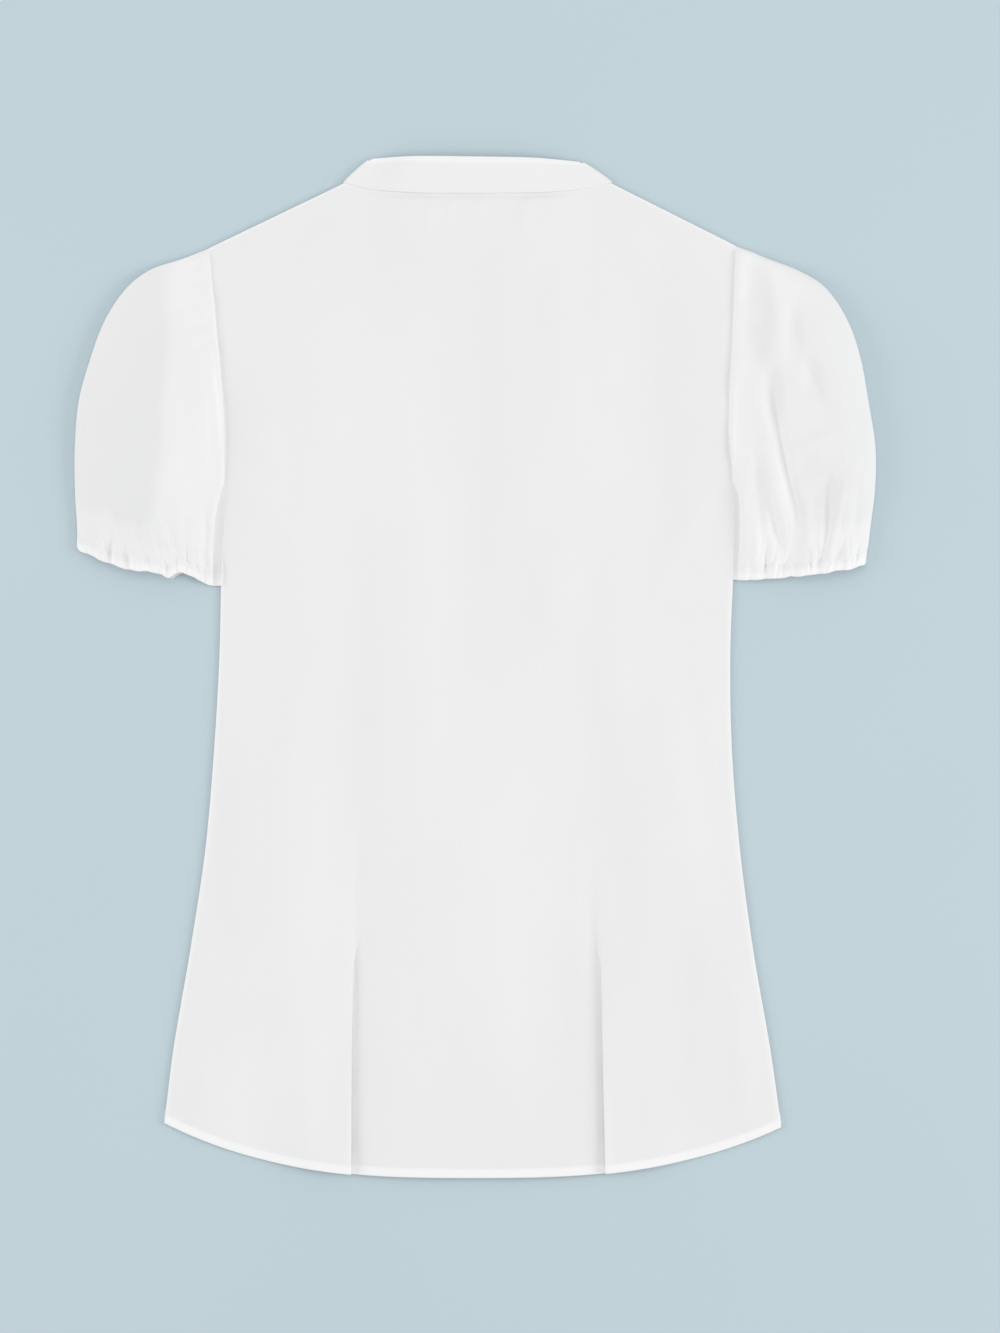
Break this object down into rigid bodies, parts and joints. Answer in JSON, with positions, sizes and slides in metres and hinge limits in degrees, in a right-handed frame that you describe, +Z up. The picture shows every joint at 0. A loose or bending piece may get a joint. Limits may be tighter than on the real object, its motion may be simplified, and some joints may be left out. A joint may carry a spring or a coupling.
{
  "type": "blouse",
  "caption": "White short-sleeved blouse with a band collar, puff sleeves gathered on elastic and a pleated flared back, laid flat on its front.",
  "frame": {"origin": "centre of the laid-out blouse in plan, on the surface that it lies on", "axes": "+Y from the hem to the collar, +X to the wearer's right, +Z up; the blouse lies on its front with its back uppermost"},
  "size_m": [0.6086, 0.7745, 0.0226],
  "materials": {
    "white_cotton": "matt plain-weave cotton poplin",
    "pearl_resin": "soft pearly gloss"
  },
  "bodies": {
    "root": {"back": "white_cotton", "front_left": "white_cotton", "front_right": "white_cotton", "sleeve_left": "white_cotton", "sleeve_right": "white_cotton", "collar": "white_cotton", "button_1": "pearl_resin", "button_2": "pearl_resin", "button_3": "pearl_resin", "button_4": "pearl_resin", "button_5": "pearl_resin", "button_6": "pearl_resin", "button_7": "pearl_resin"}
  },
  "joints": []
}
